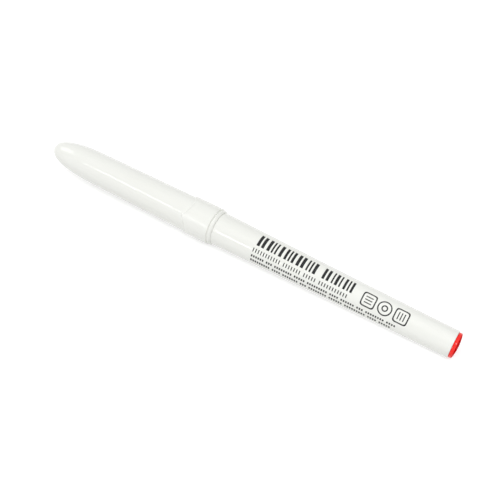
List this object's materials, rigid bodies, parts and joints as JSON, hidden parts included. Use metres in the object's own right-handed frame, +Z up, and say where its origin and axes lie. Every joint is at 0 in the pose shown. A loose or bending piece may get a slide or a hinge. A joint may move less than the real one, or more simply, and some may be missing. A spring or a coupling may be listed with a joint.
{
  "type": "nail primer pen",
  "caption": "Slim fibre-tip nail primer pen with a long pull-off bullet cap, a tapered barrel and a red end plug.",
  "frame": {"origin": "on the surface that the pen lies on, under the middle of its length", "axes": "+X along the pen's axis from the cap's nose to the end plug, +Z up"},
  "size_m": [0.14, 0.0114, 0.0115],
  "materials": {
    "white_gloss": "glossy moulded polypropylene",
    "natural_seal": "natural polyethylene, satin",
    "white_holder": "satin moulded polypropylene",
    "nib_fibre": "bonded polyester fibre",
    "reservoir_fibre": "polyester fibre bundle",
    "clear_film": "thin clear film",
    "red_gloss": "glossy moulded red plastic"
  },
  "bodies": {
    "pen_body": {"barrel": "white_gloss", "nib_holder": "white_holder", "nib": "nib_fibre", "reservoir_core": "reservoir_fibre", "reservoir_film": "clear_film", "end_plug": "red_gloss"},
    "cap_body": {"cap": "white_gloss", "cap_inner_seal": "natural_seal"}
  },
  "joints": [
    {"name": "cap_pull", "type": "slide", "parent": "pen_body", "child": "cap_body", "axis": [-1, 0, 0], "range_m": [0, 0.04]}
  ]
}
